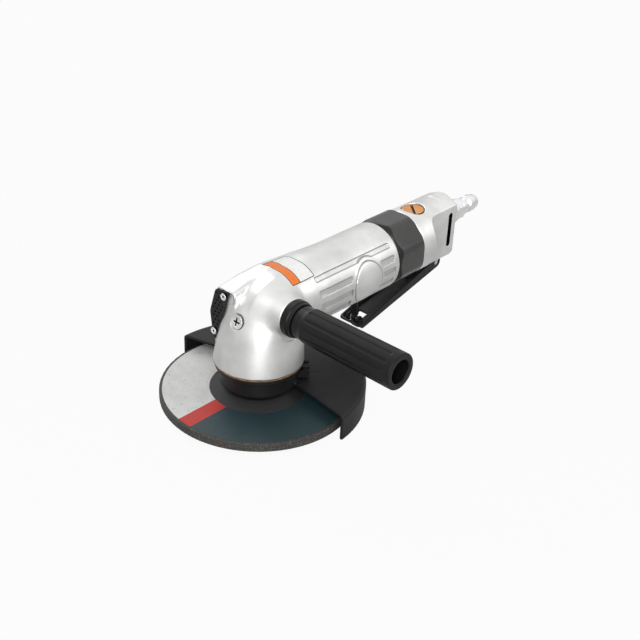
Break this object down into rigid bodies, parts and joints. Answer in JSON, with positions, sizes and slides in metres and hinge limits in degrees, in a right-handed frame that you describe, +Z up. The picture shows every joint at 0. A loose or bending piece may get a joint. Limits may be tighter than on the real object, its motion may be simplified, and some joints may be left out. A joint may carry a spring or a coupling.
{
  "type": "pneumatic angle grinder",
  "caption": "Air-driven angle grinder: vane motor in a cast barrel, bevel-gear head, depressed-centre disc under a half guard, side handle, and a throttle lever with lock-off catch.",
  "frame": {"origin": "centre of the spindle's flat end face", "axes": "+Z up along the spindle's axis, +X back along the motor barrel towards the air inlet, -Y towards the side handle"},
  "size_m": [0.2826, 0.1766, 0.0875],
  "materials": {
    "cast_aluminium": "cast and blasted, satin",
    "gloss_grey": "glossy dark grey",
    "satin_black": "satin black powder coat",
    "black_steel": "blackened steel",
    "black_plastic": "satin black moulding",
    "steel": "turned and ground",
    "plated_steel": "bright plating",
    "brass": "turned brass",
    "gasket_paper": "oiled gasket paper",
    "abrasive": "bonded abrasive grain with resin",
    "fibre": "laminated vane fibre"
  },
  "bodies": {
    "housing": {"motor_housing": "cast_aluminium", "exhaust_plate": "satin_black", "exhaust_screw_upper": "plated_steel", "exhaust_screw_lower": "plated_steel", "front_plug_screw": "plated_steel", "head_gasket": "gasket_paper", "bearing_cap": "black_steel", "lower_bearing_outer_race": "steel", "upper_bearing_outer_race": "steel", "handle_flange": "black_plastic", "handle_grip": "black_plastic", "handle_stud": "steel", "front_motor_plate": "steel", "rear_motor_plate": "steel", "motor_cylinder": "steel", "front_bearing_outer_race": "steel", "rear_bearing_outer_race": "steel", "clamp_ring": "gloss_grey", "rear_housing": "cast_aluminium", "valve_cap": "brass", "valve_seat": "brass", "valve_spring": "steel", "inlet_adapter": "plated_steel", "inlet_plug": "plated_steel"},
    "spindle": {"spindle": "steel", "lower_bearing_inner_race": "steel", "upper_bearing_inner_race": "steel", "bevel_gear": "steel", "gear_key": "steel", "gear_clip": "steel", "inner_flange": "black_steel", "grinding_disc": "abrasive", "flange_nut": "black_steel"},
    "rotor": {"rotor": "steel", "bevel_pinion": "steel", "front_bearing_inner_race": "steel", "rear_bearing_inner_race": "steel", "rotor_vane_1": "fibre", "rotor_vane_2": "fibre", "rotor_vane_3": "fibre", "rotor_vane_4": "fibre", "rotor_vane_5": "fibre"},
    "guard": {"guard": "satin_black", "guard_clamp_bolt": "black_steel", "guard_clamp_nut": "black_steel"},
    "lever": {"throttle_lever": "black_steel", "lever_pin": "steel", "catch_pin": "steel", "catch_spring": "steel"},
    "catch": {"lock_off_catch": "black_steel"},
    "valve": {"valve_poppet": "black_plastic", "valve_stem": "steel"}
  },
  "joints": [
    {"name": "spindle_spin", "type": "hinge", "parent": "housing", "child": "spindle", "pos_m": [0, 0, 0], "axis": [0, 0, 1], "continuous": true},
    {"name": "rotor_spin", "type": "hinge", "parent": "housing", "child": "rotor", "pos_m": [0.06, 0, 0.06], "axis": [1, 0, 0], "continuous": true},
    {"name": "guard_swivel", "type": "hinge", "parent": "housing", "child": "guard", "pos_m": [0, 0, 0.016], "axis": [0, 0, 1], "range_deg": [-45, 45]},
    {"name": "throttle_lever", "type": "hinge", "parent": "housing", "child": "lever", "pos_m": [0.169, 0, 0.036], "axis": [0, 1, 0], "range_deg": [0, 9], "stiffness_Nm_per_rad": 0.6, "springref_deg": -8.59},
    {"name": "lock_off_catch", "type": "hinge", "parent": "lever", "child": "catch", "pos_m": [0.09156, 0, 0.01801], "axis": [0, 1, 0], "range_deg": [-86, 0]},
    {"name": "valve_slide", "type": "slide", "parent": "housing", "child": "valve", "axis": [0, 0, 1], "range_m": [0, 0.0037], "deforming": ["valve_spring"]}
  ],
  "couplings": [
    {"joint": "rotor_spin", "follows": "spindle_spin", "ratio": 2},
    {"joint": "lock_off_catch", "follows": "throttle_lever", "ratio": -9.5},
    {"joint": "valve_slide", "follows": "throttle_lever", "m_per_rad": 0.0228}
  ]
}
